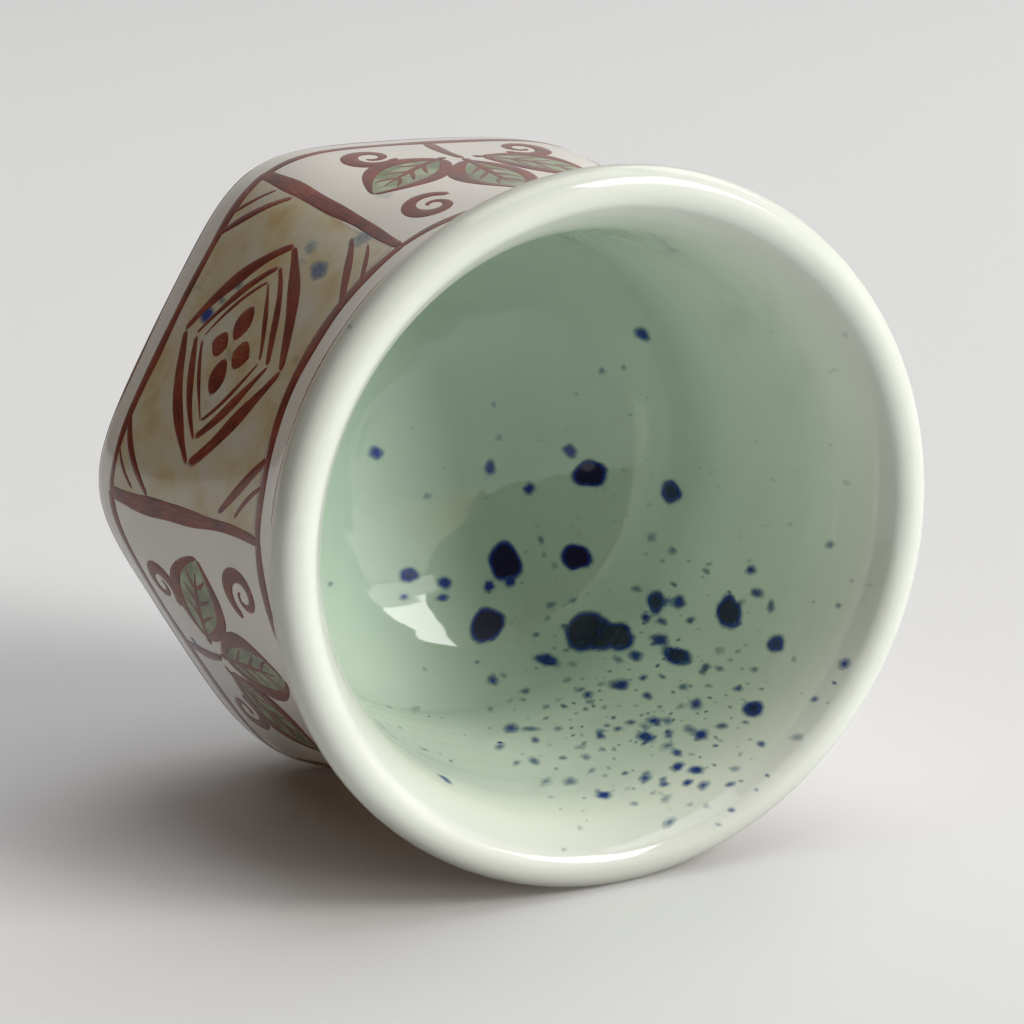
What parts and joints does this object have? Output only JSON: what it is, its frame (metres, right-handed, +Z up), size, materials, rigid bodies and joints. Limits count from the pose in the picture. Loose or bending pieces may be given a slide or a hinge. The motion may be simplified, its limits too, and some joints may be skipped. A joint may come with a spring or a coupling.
{
  "type": "guinomi sake cup",
  "caption": "Small porcelain sake cup, six-sided outside and round inside, with a flared rolled lip, celadon well, cobalt splashes and enamelled panels.",
  "frame": {"origin": "centre of the foot, on the surface that the cup stands on", "axes": "+Z up the cup's axis to the mouth; two of the six flats face +Y and -Y, and two of the corners lie along X"},
  "size_m": [0.0604, 0.058, 0.0472],
  "materials": {
    "porcelain": "fired porcelain under the glaze",
    "bare_porcelain": "unglazed, matt",
    "celadon_glaze": "glossy pale celadon, greener where it pools",
    "clear_glaze": "glossy, thin and clear over white",
    "base_clear_glaze": "glossy, thin and clear over white",
    "cobalt_inside": "glossy cobalt blue melted into the glaze",
    "cobalt_outside": "glossy cobalt blue melted into the glaze",
    "red_frame_enamel": "iron-red enamel, low gloss",
    "red_lozenge_enamel": "iron-red enamel, low gloss",
    "red_leaf_enamel": "iron-red enamel, low gloss",
    "yellow_enamel": "thin glassy ochre enamel",
    "green_enamel": "glassy moss-green enamel"
  },
  "bodies": {
    "root": {"porcelain_body": "porcelain", "foot_ring": "bare_porcelain", "inner_glaze": "celadon_glaze", "outer_glaze": "clear_glaze", "base_glaze": "base_clear_glaze", "cobalt_drops_inside": "cobalt_inside", "cobalt_drops_outside": "cobalt_outside", "red_frames": "red_frame_enamel", "red_lozenges": "red_lozenge_enamel", "red_leaf_lines": "red_leaf_enamel", "yellow_washes": "yellow_enamel", "green_leaves": "green_enamel"}
  },
  "joints": []
}
